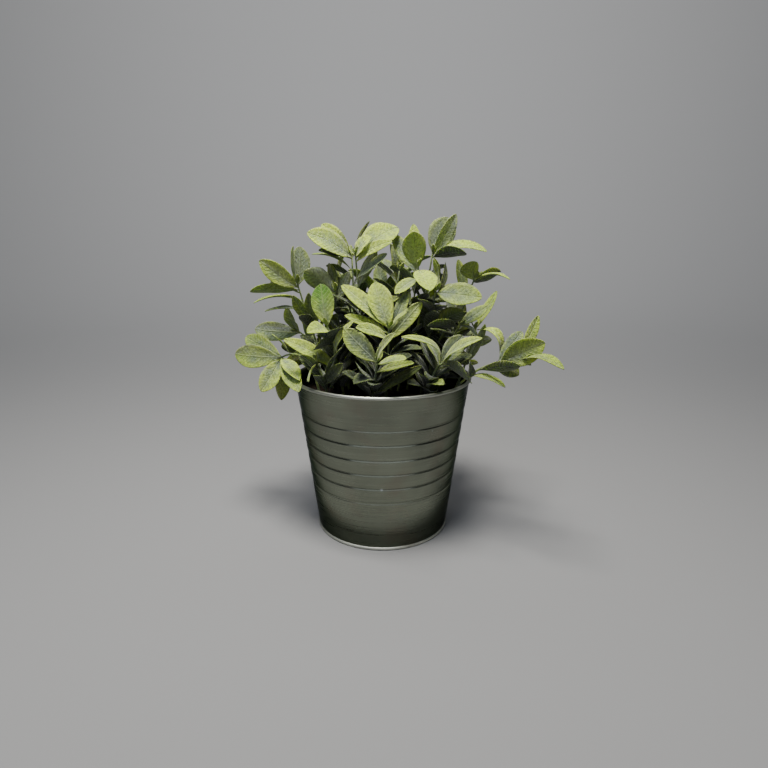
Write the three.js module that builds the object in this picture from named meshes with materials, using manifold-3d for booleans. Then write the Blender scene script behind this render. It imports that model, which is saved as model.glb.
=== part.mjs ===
import * as THREE from 'three';
import { mergeVertices } from 'three/addons/utils/BufferGeometryUtils.js';
import Module from 'manifold-3d';

// Pot, in millimetres. It stands on z = 0 with its axis on x = y = 0.
const potHeight = 120;
const wallTopRadius = 65.8;
const wallFootRadius = 50.6;
const wallThickness = 1.3;
const rimBeadRadius = 1.25;
const rimCurl = { from: -60, to: 180, steps: 4 };
const rimTail = 2;
const potSides = 32;
const ringHeights = [95, 84, 72.5, 61.5, 50.5, 39];
const ringDepth = 0.7;
const ringReach = 1.8;
const seamHeight = 2.4;
const seamWidth = 2.2;
const seamStandOut = 0.7;
const seamRounding = 0.6;
const discLift = 1.2;
const discThickness = 0.8;

// Soil
const soilTop = 106;
const soilMound = 2;
const soilShoulder = { out: 0.55, up: 0.7 };
const soilFootInset = 2;
const soilSides = 24;
const rootDepth = 8;
const rootClearance = 0.35;

// Stems and leaves. A leaf's half width is sin(pi * share ** leafSkew) ** leafFullness at a share of its
// length. Its stations are the shares at which its outline and its bent midrib are cut into facets.
const stemRadius = 0.9;
const stemSides = 4;
const stemSteps = 5;
const leafThickness = 0.7;
const leafFold = 0.18;
const leafSkew = 1.3;
const leafFullness = 0.62;
const broadStations = [0.24, 0.55, 0.85];
const narrowStations = [0.34, 0.8];
const lowerStations = [0.52];
const broadFrom = 13.5;

// Room between pieces that touch, round each leaf, and the parts of a leaf that may meet its own stem
const seatGap = 0.3;
const leafClearance = 0.35;
const rootedTo = 0.3;
const stalkEnd = 0.04;
const lastRoot = 0.985;

// Point in front of the plant from which its front leaves are placed
const sightBack = 400.7;
const sightUp = 216.2;

// Ways in which a leaf's upper side can face
const faces = {
  front: [0, -1, 0.25],
  rise: [0, -0.7, 0.7],
  top: [0, -0.15, 1],
  under: [0, 0.6, 0.8],
  back: [0, 1, 0.2],
  left: [-0.9, -0.4, 0.15],
  right: [0.9, -0.4, 0.15],
};

// Sprigs that show from the front. A stem runs from its foot in the soil, [x, y], past its bend to its
// apex. Bend, apex and leaf tips are [across, up, back]: the place on the upright plane through the
// pot's axis where the point is seen from the front, and how far behind that plane it lies.
const frontSprigs = [
  {
    name: 'sprig_top_left', foot: [-14, 10], bend: [-21, 150, 10], apex: [-22, 207, 6],
    leaves: [
      { at: 1, tip: [-54, 223, -8], width: 18, face: [0, -0.8, 0.6], arch: 3 },
      { at: 1, tip: [-43, 229, 12], width: 13, face: 'front', arch: 4 },
      { at: 0.98, tip: [-46, 211, -4], width: 9, face: 'under', arch: 2 },
      { at: 0.9, tip: [-51, 208, 2], width: 8, face: 'top', arch: 4 },
      { at: 0.84, tip: [-41, 200, 12], width: 8, face: 'under', arch: 2 },
      { at: 0.97, tip: [-9, 231, 20], width: 5, face: [-0.8, 0.5, 0.2], arch: 1 },
    ],
  },
  {
    name: 'sprig_left_tall', foot: [-36, 8], bend: [-52, 150, 10], apex: [-62, 187, 6],
    leaves: [
      { at: 1, tip: [-63.5, 214, -5], width: 10, face: [-0.8, -0.5, 0.3], arch: 1 },
      { at: 1, tip: [-59.5, 213.5, 4], width: 15, face: [0.4, -0.9, 0.2], arch: 1 },
      { at: 0.97, tip: [-89, 204, -4], width: 13.5, face: 'front', arch: 2 },
      { at: 0.95, tip: [-97, 181.5, -2], width: 13.5, face: 'under', arch: 1 },
      { at: 0.92, tip: [-82, 188, 20], width: 10, face: 'under', arch: 1 },
      { at: 0.86, tip: [-95, 173, 8], width: 8, face: 'top', arch: 4 },
      { at: 0.78, tip: [-87, 167, -2], width: 7, face: 'top', arch: 2 },
      { at: 0.7, tip: [-66, 179, -8], width: 8, face: 'front', arch: 1 },
      { at: 0.6, tip: [-54, 181, -6], width: 8, face: 'front', arch: 1 },
    ],
  },
  {
    name: 'sprig_left_inner', foot: [-24, 2], bend: [-32, 145, 0], apex: [-35, 182, -4],
    leaves: [
      { at: 1, tip: [-57, 196, -10], width: 16, face: 'back', arch: 2 },
      { at: 0.97, tip: [-39, 202, 2], width: 8, face: 'under', arch: 1 },
      { at: 0.9, tip: [-24, 196, 4], width: 9, face: 'back', arch: 1 },
    ],
  },
  {
    name: 'sprig_left_low', foot: [-46, -10], bend: [-53, 146, -8], apex: [-77, 132, -8],
    leaves: [
      { at: 1, tip: [-111, 135, 2], width: 17, face: 'front', arch: 2 },
      { at: 0.97, tip: [-102, 148, 16], width: 14, face: [0, -0.9, 0.45], arch: 2 },
      { at: 1, tip: [-63.5, 114.5, -36], width: 11, face: [0.4, -0.8, 0.5], arch: 2 },
      { at: 1, tip: [-93, 106, -18], width: 14, face: 'front', arch: 2 },
      { at: 0.98, tip: [-78, 99, 0], width: 12, face: 'back', arch: 1 },
      { at: 0.98, tip: [-64, 105.5, -24], width: 13, face: 'rise', arch: 1 },
      { at: 0.86, tip: [-83, 150, -16], width: 7, face: 'top', arch: 1 },
    ],
  },
  {
    name: 'sprig_left_mid', foot: [-38, 20], bend: [-48, 142, 24], apex: [-62, 152, 22],
    leaves: [
      { at: 0.98, tip: [-95, 154, 26], width: 15, face: 'front', arch: 2 },
      { at: 1, tip: [-70, 171, 12], width: 11, face: [-0.5, -0.7, 0.5], arch: 2 },
      { at: 0.72, tip: [-76, 141, 14], width: 12, face: 'back', arch: 1 },
      { at: 0.6, tip: [-74, 127, 8], width: 12, face: 'back', arch: 1 },
      { at: 0.85, tip: [-51, 174, 6], width: 12, face: 'front', arch: 1 },
    ],
  },
  {
    name: 'sprig_left_front', foot: [-26, -24], bend: [-35, 135, -26], apex: [-41, 156, -26],
    leaves: [
      { at: 1, tip: [-45, 187, -18], width: 16, face: [0, -0.9, 0.3], arch: 2 },
      { at: 0.92, tip: [-56.5, 151, -44], width: 12, face: [0.2, -0.5, 0.8], arch: 4 },
      { at: 0.5, tip: [-74, 146, -34], width: 11, face: 'rise', arch: 4 },
      { at: 0.8, tip: [-51, 139, -36], width: 13, face: [0, 0.9, 0.4], arch: 1 },
      { at: 0.5, tip: [-20, 161, -44], width: 7, face: 'left', arch: 7 },
    ],
  },
  {
    name: 'sprig_rim_left', foot: [-36, -34], bend: [-44, 116, -38], apex: [-50, 128, -40],
    leaves: [
      { at: 1, tip: [-56, 113.5, -52], width: 9, face: 'left', arch: 1 },
      { at: 0.97, tip: [-46, 119, -52], width: 7, face: 'right', arch: 1 },
      { at: 0.6, tip: [-30, 128, -50], width: 8, face: 'front', arch: 1 },
      { at: 0.8, tip: [-62, 134, -42], width: 9, face: 'under', arch: 1 },
    ],
  },
  {
    name: 'sprig_centre_top', foot: [-6, -4], bend: [-15, 150, -4], apex: [-19.5, 207, -10],
    leaves: [
      { at: 1, tip: [11, 226.5, 4], width: 20, face: [0, -0.75, 0.65], arch: 4 },
      { at: 0.99, tip: [-7.5, 220.5, -14], width: 12, face: [0, -0.55, 0.85], arch: 3 },
      { at: 0.96, tip: [7, 217, -24], width: 9, face: [0, -0.8, 0.6], arch: 3 },
      { at: 0.86, tip: [3.5, 208.5, -22], width: 8, face: [-0.3, -0.7, 0.6], arch: 1 },
      { at: 0.8, tip: [-4, 210.5, -6], width: 8, face: 'front', arch: 1 },
      { at: 0.62, tip: [12, 177, -16], width: 9, face: 'rise', arch: 2 },
    ],
  },
  {
    name: 'sprig_centre_right', foot: [10, -2], bend: [20, 150, -2], apex: [26, 199, -8],
    leaves: [
      { at: 1, tip: [22, 224, -16], width: 17, face: 'back', arch: 1 },
      { at: 1, tip: [22, 229, 2], width: 9, face: 'front', arch: 1 },
      { at: 0.98, tip: [35, 182, -34], width: 16, face: [0.1, -0.7, 0.7], arch: 2 },
      { at: 0.92, tip: [9, 180, -26], width: 9, face: 'rise', arch: 2 },
      { at: 0.95, tip: [7.5, 221.5, 4], width: 12, face: [0.1, -0.9, 0.35], arch: 1 },
      { at: 0.9, tip: [5, 199, 2], width: 12, face: 'under', arch: 1 },
      { at: 0.7, tip: [7, 214, 8], width: 9, face: 'back', arch: 1 },
    ],
  },
  {
    name: 'sprig_top_right', foot: [20, 14], bend: [29, 160, 12], apex: [36, 209, 6],
    leaves: [
      { at: 1, tip: [47, 233.5, 14], width: 20, face: [0, -0.95, 0.3], arch: 1 },
      { at: 1, tip: [52, 236, 2], width: 10, face: [0.3, -0.9, 0.35], arch: 1 },
      { at: 0.99, tip: [75, 210, -6], width: 13, face: [0, -0.45, 0.9], arch: 6 },
      { at: 0.97, tip: [60, 209, -18], width: 13, face: [0, 0.75, 0.65], arch: 2 },
      { at: 0.85, tip: [46, 199, 22], width: 9, face: 'under', arch: 2 },
    ],
  },
  {
    name: 'sprig_right_upper', foot: [28, -8], bend: [34, 150, -12], apex: [39, 182, -16],
    leaves: [
      { at: 1, tip: [73, 177, -34], width: 17, face: [0, -0.85, 0.5], arch: 2 },
      { at: 0.98, tip: [37, 205, -14], width: 7, face: 'left', arch: -3 },
      { at: 0.95, tip: [45, 203, -2], width: 8, face: 'right', arch: 2 },
      { at: 0.7, tip: [60, 167, -30], width: 13, face: 'back', arch: 1 },
      { at: 0.75, tip: [20, 172, -24], width: 9, face: 'under', arch: 1 },
    ],
  },
  {
    name: 'sprig_right_tall', foot: [38, 10], bend: [52, 150, 8], apex: [67, 191, 4],
    leaves: [
      { at: 1, tip: [62, 202.5, -4], width: 14, face: 'back', arch: 1 },
      { at: 1, tip: [93, 190, -4], width: 9, face: [0, -0.1, 0.95], arch: 4 },
      { at: 0.97, tip: [86, 196, 14], width: 12, face: [0, 0.8, 0.6], arch: 1 },
      { at: 0.8, tip: [54.5, 204.5, 18], width: 8, face: 'rise', arch: 1 },
    ],
  },
  {
    name: 'sprig_right_mid', foot: [40, -6], bend: [47, 135, -10], apex: [57, 157, -18],
    leaves: [
      { at: 1, tip: [78, 171, -20], width: 9.5, face: [-0.5, -0.7, 0.5], arch: 1 },
      { at: 0.99, tip: [70, 147, -30], width: 9, face: [0.3, 0, 0.95], arch: 3 },
      { at: 0.97, tip: [34, 157, -32], width: 14, face: 'under', arch: 1 },
      { at: 0.85, tip: [36, 154, -34], width: 9, face: 'top', arch: 1 },
      { at: 0.6, tip: [66, 130, -24], width: 12, face: 'back', arch: 1 },
    ],
  },
  {
    name: 'sprig_right_outer', foot: [49, -12], bend: [66, 132, -14], apex: [69, 154, -16],
    leaves: [
      { at: 1, tip: [88.5, 132, -26], width: 9, face: [0.3, -0.5, 0.8], arch: 12 },
      { at: 0.98, tip: [84, 182, -6], width: 7, face: [-0.6, -0.7, 0.3], arch: 1 },
      { at: 0.55, tip: [76, 158, -28], width: 9, face: [0.6, -0.8, 0], arch: 1 },
      { at: 0.8, tip: [82, 146, -8], width: 8, face: 'back', arch: 1 },
    ],
  },
  {
    name: 'sprig_right_low', foot: [44, -24], bend: [62, 130, -30], apex: [104, 130, -54],
    leaves: [
      { at: 0.8, tip: [122, 144, -62], width: 17, face: 'front', arch: 2 },
      { at: 0.78, tip: [104, 152, -30], width: 10, face: [-0.3, -0.8, 0.4], arch: 2 },
      { at: 0.97, tip: [115.5, 164, -36], width: 8, face: [0.3, -0.9, 0.3], arch: 1 },
      { at: 1, tip: [138, 123, -73], width: 9, face: [0, -0.35, 0.95], arch: 5 },
      { at: 0.58, tip: [104, 126, -68], width: 9, face: 'back', arch: 1 },
      { at: 0.75, tip: [104, 119, -44], width: 12, face: 'back', arch: 1 },
      { at: 0.47, tip: [94, 109, -50], width: 8, face: [0.3, -0.4, 0.9], arch: 3 },
    ],
  },
  {
    name: 'sprig_right_front', foot: [28, -28], bend: [38, 126, -36], apex: [45.5, 128, -42],
    leaves: [
      { at: 1, tip: [14, 148, -66], width: 6.5, face: [0.3, -0.5, 0.8], arch: 8 },
      { at: 1, tip: [75, 147, -68], width: 8, face: [-0.3, -0.6, 0.75], arch: 4 },
      { at: 0.96, tip: [60, 149, -34], width: 13, face: 'front', arch: 1 },
      { at: 0.9, tip: [32, 146, -34], width: 8, face: 'top', arch: 3 },
      { at: 0.97, tip: [67, 113, -68], width: 17, face: [0.2, 0.7, 0.5], arch: 2 },
      { at: 0.45, tip: [47, 111, -62], width: 9, face: 'rise', arch: 3 },
    ],
  },
  {
    name: 'sprig_centre_front', foot: [2, -20], bend: [4, 130, -28], apex: [5, 155, -34],
    leaves: [
      { at: 1, tip: [-6, 188, -24], width: 17, face: [0.1, -0.9, 0.4], arch: 2 },
      { at: 1, tip: [-30, 186, -26], width: 12, face: 'rise', arch: 2 },
      { at: 0.97, tip: [18, 166, -52], width: 8, face: [-0.3, -0.5, 0.8], arch: 1 },
      { at: 0.85, tip: [29, 174, -26], width: 10, face: [0.2, -0.9, 0.3], arch: 1 },
      { at: 0.95, tip: [18, 182, -18], width: 8, face: 'front', arch: 1 },
      { at: 0.86, tip: [-20, 155, -46], width: 10, face: 'rise', arch: 2 },
      { at: 0.93, tip: [-28, 164, -32], width: 8, face: 'rise', arch: 1 },
    ],
  },
  {
    name: 'sprig_low_front', foot: [-8, -36], bend: [-6, 114, -44], apex: [-4, 129, -50],
    leaves: [
      { at: 1, tip: [-29, 154, -48], width: 14, face: [0, -0.95, 0.3], arch: 1 },
      { at: 1, tip: [10, 151, -76], width: 7, face: [-0.8, -0.5, 0.3], arch: 3 },
      { at: 0.95, tip: [18, 131, -80], width: 8, face: 'rise', arch: 1 },
      { at: 0.8, tip: [24, 128, -66], width: 6, face: 'rise', arch: 1 },
      { at: 0.7, tip: [-20, 129, -62], width: 8, face: [-0.6, -0.6, 0.4], arch: 1 },
      { at: 0.4, tip: [30, 126, -46], width: 6, face: 'front', arch: 1 },
    ],
  },
];

// Sprigs of the sides and back, spread evenly over a dome by the golden angle. Their bends lie at a share
// of the way out and up to the apex.
const dome = {
  count: 27,
  seed: 12,
  centreHeight: 118,
  reach: 68,
  reachSpread: 0.1,
  rise: 80,
  lowest: 0.12,
  frontEdge: -12,
  backLimit: 80,
  footShare: 0.5,
  bendOut: 0.72,
  bendUp: 0.75,
  bendLift: 8,
};

// How leaves sit in opposite pairs, each pair a quarter turn from the one below it
const upperPairs = {
  places: [0.72, 0.9, 1], spreads: [68, 58, 34], lengths: [31, 33, 28], slimness: 0.48,
  stations: narrowStations,
};
const lowerPairs = {
  places: [0.43, 0.6], spreads: [60, 66], lengths: [28, 30], slimness: 0.46, stations: lowerStations,
};
const lowerTurn = 45;

// The low leaves of the front sprigs stand steeper and are slimmer
const frontPairs = {
  places: [0.43, 0.6], spreads: [40, 44], lengths: [27, 28], slimness: 0.36, stations: lowerStations,
};
const frontSeed = 5;
const variety = { turn: [-15, 15], spread: [-10, 10], length: [0.85, 1.2], arch: [1, 3.5] };

// Tries for a leaf that would touch something
const depthShifts = [0, -3, 3, -6, 6, -9, 9, -13, 13, -17, 17];
const swings = [0, 18, -18, 36, -36];
const shortenings = [1, 0.84, 0.7];

// Seen from the front, the leaves that are set by rule stay inside this oval
const crown = { across: 2, up: 140, halfWidth: 66, halfHeight: 80, apexShare: 0.975 };

const leafMaterial = new THREE.MeshStandardMaterial({ color: '#9aa86a', roughness: 0.85, metalness: 0 });
const steelMaterial = new THREE.MeshStandardMaterial({ color: '#6b6c62', roughness: 0.35, metalness: 0.9 });
const seamMaterial = new THREE.MeshStandardMaterial({ color: '#a9aca6', roughness: 0.3, metalness: 0.9 });
const soilMaterial = new THREE.MeshStandardMaterial({ color: '#241d16', roughness: 1, metalness: 0 });

// What counts as one point, and as an overlap, in mm and cubic mm
const weldWithin = 1e-4;
const leastOverlap = 1e-6;

const wasm = await Module();
wasm.setup();

// A closed mesh as a solid
function solidFrom(geometry) {
  geometry.deleteAttribute('normal');
  geometry.deleteAttribute('uv');
  const merged = mergeVertices(geometry, weldWithin);
  return new wasm.Manifold(new wasm.Mesh({
    numProp: 3,
    vertProperties: new Float32Array(merged.attributes.position.array),
    triVerts: new Uint32Array(merged.index.array),
  }));
}

// A solid as a mesh with its name and material
function meshFrom(name, solid, material) {
  const { numProp, vertProperties, triVerts } = solid.getMesh();
  const points = new Float32Array((vertProperties.length / numProp) * 3);
  for (let i = 0; i < points.length / 3; i += 1) {
    points.set(vertProperties.subarray(i * numProp, i * numProp + 3), i * 3);
  }
  const geometry = new THREE.BufferGeometry();
  geometry.setAttribute('position', new THREE.BufferAttribute(points, 3));
  geometry.setIndex(new THREE.BufferAttribute(new Uint32Array(triVerts), 1));
  geometry.computeVertexNormals();
  const mesh = new THREE.Mesh(geometry, material);
  mesh.name = name;
  return mesh;
}

// A profile of [radius, height] points turned round the pot's axis
function turned(profile, sides) {
  const points = profile.map(([radius, height]) => new THREE.Vector2(radius, height));
  points.push(points[0].clone());
  const geometry = new THREE.LatheGeometry(points, sides);
  geometry.rotateX(Math.PI / 2);
  return solidFrom(geometry);
}

function wallRadius(height) {
  return wallFootRadius + (wallTopRadius - wallFootRadius) * (height / potHeight);
}

// Pot wall: a tapered sheet with six pressed rings and a rolled bead for a rim
function makeWall() {
  const beadHeight = potHeight - rimBeadRadius;
  const wallFoot = seamHeight + seatGap;
  const outer = [[wallRadius(wallFoot), wallFoot]];
  for (const height of [...ringHeights].reverse()) {
    outer.push([wallRadius(height - ringReach), height - ringReach]);
    outer.push([wallRadius(height) - ringDepth, height]);
    outer.push([wallRadius(height + ringReach), height + ringReach]);
  }
  const beadMiddle = wallRadius(beadHeight);
  for (let step = 0; step <= rimCurl.steps; step += 1) {
    const degrees = THREE.MathUtils.lerp(rimCurl.from, rimCurl.to, step / rimCurl.steps);
    const angle = THREE.MathUtils.degToRad(degrees);
    outer.push([
      beadMiddle + rimBeadRadius * Math.cos(angle),
      beadHeight + rimBeadRadius * Math.sin(angle),
    ]);
  }
  const inner = [
    [wallRadius(beadHeight - rimTail) - wallThickness, beadHeight - rimTail],
    [wallRadius(wallFoot) - wallThickness, wallFoot],
  ];
  return turned([...outer, ...inner], potSides);
}

// Pot bottom: a raised disc in the rolled seam ring that the pot stands on
function makeBottom() {
  const seamOuter = wallRadius(0) + seamStandOut;
  const seamInner = seamOuter - seamWidth;
  return turned([
    [0, discLift],
    [seamInner, discLift],
    [seamInner, 0],
    [seamOuter - seamRounding, 0],
    [seamOuter, seamRounding],
    [seamOuter, seamHeight - seamRounding],
    [seamOuter - seamRounding, seamHeight],
    [seamInner, seamHeight],
    [seamInner, discLift + discThickness],
    [0, discLift + discThickness],
  ], potSides);
}

// Soil: a plug that fills the pot and rises a little to its middle
function makeSoil() {
  const soilFoot = discLift + discThickness + seatGap;
  const edge = (height) => wallRadius(height) - wallThickness - seatGap - ringDepth;
  return turned([
    [0, soilFoot],
    [edge(soilFoot) - soilFootInset, soilFoot],
    [edge(soilTop), soilTop],
    [edge(soilTop) * soilShoulder.out, soilTop + soilMound * soilShoulder.up],
    [0, soilTop + soilMound],
  ], soilSides);
}

// The real place of a point that is given as it is seen from the front
function seen([across, up, back]) {
  const scale = (sightBack + back) / sightBack;
  return new THREE.Vector3(across * scale, back, sightUp + (up - sightUp) * scale);
}

// Where a leaf is rooted: on its stem's faceted middle line, at a share of its length
function rootOn(curve, at) {
  const joints = curve.getSpacedPoints(stemSteps);
  const along = Math.min(at, lastRoot) * stemSteps;
  const step = Math.floor(along);
  return joints[step].clone().lerp(joints[step + 1], along - step);
}

// How far out a point lies in the crown's oval, seen from the front: 0 in its middle, 1 on its edge
function crownShare(point) {
  const scale = (sightBack + point.y) / sightBack;
  const across = point.x / scale;
  const up = sightUp + (point.z - sightUp) / scale;
  return Math.hypot((across - crown.across) / crown.halfWidth, (up - crown.up) / crown.halfHeight);
}

// A stem as a solid of a few sides
function stemSolid(curve, radius) {
  const section = new THREE.Shape();
  for (let side = 0; side < stemSides; side += 1) {
    const angle = (side / stemSides) * 2 * Math.PI;
    const corner = [radius * Math.cos(angle), radius * Math.sin(angle)];
    if (side === 0) section.moveTo(...corner);
    else section.lineTo(...corner);
  }
  return solidFrom(new THREE.ExtrudeGeometry(section, {
    steps: stemSteps,
    bevelEnabled: false,
    extrudePath: curve,
  }));
}

// Half the width of a leaf, as a share of its greatest, at a share of its length
function halfWidth(share) {
  return Math.sin(Math.PI * share ** leafSkew) ** leafFullness;
}

// A blade with a bent midrib and raised sides, from a share of its length on and with some extra room.
// Both faces are split into triangles alike.
function bladeSolid(leaf, from, extra) {
  const rib = leaf.tip.clone().sub(leaf.base);
  const along = rib.clone().normalize();
  const normal = leaf.face.clone().addScaledVector(along, -leaf.face.dot(along)).normalize();
  const across = normal.clone().cross(along);
  const shares = [0, ...leaf.stations, 1].map((station) => from + (1 - from) * station);
  const last = shares.length - 1;
  const points = [];
  const place = (share, side, layer) => {
    const half = side === 0 ? 0 : (leaf.width / 2) * halfWidth(share) + extra;
    const lift = leaf.arch * 4 * share * (1 - share) + half * leafFold
      + layer * (leafThickness / 2 + extra);
    return leaf.base.clone()
      .addScaledVector(rib, share)
      .addScaledVector(across, side * half)
      .addScaledVector(normal, lift);
  };
  const ids = shares.map((share, row) => {
    const sides = row === 0 || row === last ? [0] : [1, 0, -1];
    const layers = [1, -1].map((layer) => sides.map((side) => {
      points.push(place(share, side, layer));
      return points.length - 1;
    }));
    return layers.map((layer) => (layer.length === 1 ? [layer[0], layer[0], layer[0]] : layer));
  });
  const triangles = [];
  const addTriangle = (a, b, c) => {
    if (a !== b && b !== c && c !== a) triangles.push(a, b, c);
  };
  for (let row = 0; row < last; row += 1) {
    const [top, bottom] = ids[row];
    const [nextTop, nextBottom] = ids[row + 1];
    addTriangle(top[0], top[1], nextTop[0]);
    addTriangle(top[1], nextTop[1], nextTop[0]);
    addTriangle(top[1], top[2], nextTop[2]);
    addTriangle(top[1], nextTop[2], nextTop[1]);
    addTriangle(bottom[1], bottom[0], nextBottom[0]);
    addTriangle(bottom[1], nextBottom[0], nextBottom[1]);
    addTriangle(bottom[2], bottom[1], nextBottom[2]);
    addTriangle(bottom[1], nextBottom[1], nextBottom[2]);
    addTriangle(bottom[0], top[0], nextTop[0]);
    addTriangle(bottom[0], nextTop[0], nextBottom[0]);
    addTriangle(bottom[2], nextTop[2], top[2]);
    addTriangle(bottom[2], nextBottom[2], nextTop[2]);
  }
  return new wasm.Manifold(new wasm.Mesh({
    numProp: 3,
    vertProperties: new Float32Array(points.flatMap((point) => point.toArray())),
    triVerts: new Uint32Array(triangles),
  }));
}

// Seeded random numbers between two values
function randomFrom(seed) {
  let state = seed;
  return (low, high) => {
    state = (Math.imul(state, 1664525) + 1013904223) >>> 0;
    return low + (state / 2 ** 32) * (high - low);
  };
}

// The tries of one leaf of a pair
function pairedLeaf(curve, pairs, pair, turn, random) {
  const at = pairs.places[pair];
  const base = rootOn(curve, at);
  const stemWay = curve.getTangentAt(at);
  const side = new THREE.Vector3(0, 0, 1).cross(stemWay).normalize();
  const turned = turn + random(...variety.turn);
  const spread = THREE.MathUtils.degToRad(pairs.spreads[pair] + random(...variety.spread));
  const length = pairs.lengths[pair] * random(...variety.length);
  const arch = random(...variety.arch);
  const tries = [];
  for (const shorten of shortenings) {
    for (const swing of swings) {
      const outward = side.clone().applyAxisAngle(stemWay, THREE.MathUtils.degToRad(turned + swing));
      const way = outward.multiplyScalar(Math.sin(spread)).addScaledVector(stemWay, Math.cos(spread));
      tries.push({
        base,
        tip: base.clone().addScaledVector(way, length * shorten),
        face: stemWay,
        width: length * shorten * pairs.slimness,
        arch,
        stations: pairs.stations,
      });
    }
  }
  return tries;
}

// Leaves in opposite pairs, each pair a quarter turn round from the one below it
function listPairs(curve, pairs, turn, random) {
  return pairs.places.flatMap((place, pair) => [0, 180].map((half) => (
    pairedLeaf(curve, pairs, pair, turn + pair * 90 + half, random)
  )));
}

// The sprigs that show from the front, with the tries of each leaf
function listFrontSprigs() {
  const random = randomFrom(frontSeed);
  return frontSprigs.map((sprig) => {
    const foot = new THREE.Vector3(...sprig.foot, soilTop - rootDepth);
    const curve = new THREE.QuadraticBezierCurve3(foot, seen(sprig.bend), seen(sprig.apex));
    const leaves = sprig.leaves.map(({ at, tip, width, face, arch }) => depthShifts.map((shift) => ({
      base: rootOn(curve, at),
      tip: seen([tip[0], tip[1], tip[2] + shift]),
      face: new THREE.Vector3(...(faces[face] ?? face)),
      width,
      arch,
      stations: width > broadFrom ? broadStations : narrowStations,
    })));
    const lowerLeaves = listPairs(curve, frontPairs, random(0, 180), random);
    return { name: sprig.name, curve, leaves, lowerLeaves, byRule: false };
  });
}

// The sprigs of the sides and back, with the tries of each leaf
function listDomeSprigs() {
  const random = randomFrom(dome.seed);
  const goldenAngle = Math.PI * (3 - Math.sqrt(5));
  const sprigs = [];
  for (let i = 0; i < dome.count; i += 1) {
    const height = THREE.MathUtils.lerp(dome.lowest, 1, (i + 0.5) / dome.count);
    const ring = Math.sqrt(1 - height * height);
    const reach = dome.reach * ring * random(1 - dome.reachSpread, 1 + dome.reachSpread);
    const apex = new THREE.Vector3(reach, 0, dome.centreHeight + dome.rise * height);
    apex.applyAxisAngle(new THREE.Vector3(0, 0, 1), i * goldenAngle);
    const foot = new THREE.Vector3(apex.x * dome.footShare, apex.y * dome.footShare, soilTop - rootDepth);
    const bend = new THREE.Vector3(
      apex.x * dome.bendOut,
      apex.y * dome.bendOut,
      THREE.MathUtils.lerp(foot.z, apex.z, dome.bendUp) + dome.bendLift,
    );
    const curve = new THREE.QuadraticBezierCurve3(foot, bend, apex);
    const turn = random(0, 180);
    const leaves = listPairs(curve, upperPairs, turn, random);
    const lowerLeaves = listPairs(curve, lowerPairs, turn + lowerTurn, random);
    if (apex.y > dome.frontEdge && crownShare(apex) < crown.apexShare) {
      const name = `sprig_back_${String(i + 1).padStart(2, '0')}`;
      sprigs.push({ name, curve, leaves, lowerLeaves, byRule: true });
    }
  }
  return sprigs;
}

function overlaps(a, b) {
  const boxA = a.boundingBox();
  const boxB = b.boundingBox();
  for (let axis = 0; axis < 3; axis += 1) {
    if (boxA.max[axis] < boxB.min[axis] || boxB.max[axis] < boxA.min[axis]) return false;
  }
  return a.intersect(b).volume() > leastOverlap;
}

const wall = makeWall();
const plug = makeSoil();

// The stems that stand clear of the wall and of the stems before them
const standing = [];
for (const sprig of [...listFrontSprigs(), ...listDomeSprigs()]) {
  const room = stemSolid(sprig.curve, stemRadius + leafClearance);
  if (overlaps(room, wall) || standing.some((other) => overlaps(room, other.stem))) continue;
  standing.push({ ...sprig, stem: stemSolid(sprig.curve, stemRadius), blades: [] });
}

// Whether a leaf with room round it is clear of the pot, the soil and every other leaf and stem. It may
// meet its own stem and that stem's leaves where it grows from it.
function isClear(leaf, sprig) {
  const whole = bladeSolid(leaf, stalkEnd, leafClearance);
  if (overlaps(whole, wall) || overlaps(whole, plug)) return false;
  const free = bladeSolid(leaf, rootedTo, leafClearance);
  return standing.every((other) => {
    const [mine, part] = other === sprig ? [free, 'free'] : [whole, 'whole'];
    return !overlaps(mine, other.stem) && !other.blades.some((blade) => overlaps(mine, blade[part]));
  });
}

// A leaf that is set by rule stays inside the oval, and one of the back sprigs behind the front ones
function staysInCrown(leaf, sprig) {
  const nearest = sprig.byRule ? dome.frontEdge : -Infinity;
  return leaf.tip.y > nearest && leaf.tip.y < dome.backLimit && crownShare(leaf.tip) < 1;
}

// The leaves, from the ones that show most to the low ones inside
const growth = [
  ...standing.flatMap((sprig) => sprig.leaves.map((tries) => ({ sprig, tries, inside: sprig.byRule }))),
  ...standing.flatMap((sprig) => sprig.lowerLeaves.map((tries) => ({ sprig, tries, inside: true }))),
];
for (const { sprig, tries, inside } of growth) {
  const leaf = tries.find((attempt) => (!inside || staysInCrown(attempt, sprig)) && isClear(attempt, sprig));
  if (leaf) sprig.blades.push({ whole: bladeSolid(leaf, 0, 0), free: bladeSolid(leaf, rootedTo, 0) });
}

const group = new THREE.Group();
group.add(meshFrom('pot_wall', wall, steelMaterial));
group.add(meshFrom('pot_bottom', makeBottom(), seamMaterial));
let soil = plug;
for (const { name, curve, stem, blades } of standing.filter((sprig) => sprig.blades.length > 0)) {
  const holeFoot = curve.v0.clone().addScaledVector(curve.getTangent(0), -seatGap);
  const holeCurve = new THREE.QuadraticBezierCurve3(holeFoot, curve.v1, curve.v2);
  soil = soil.subtract(stemSolid(holeCurve, stemRadius + rootClearance));
  group.add(meshFrom(name, blades.reduce((sum, blade) => sum.add(blade.whole), stem), leafMaterial));
}
group.add(meshFrom('soil', soil, soilMaterial));

export default group;
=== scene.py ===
import bisect
import bmesh
import bpy
import math
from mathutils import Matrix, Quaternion, Vector, noise
from mathutils.bvhtree import BVHTree
from mathutils.kdtree import KDTree


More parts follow.
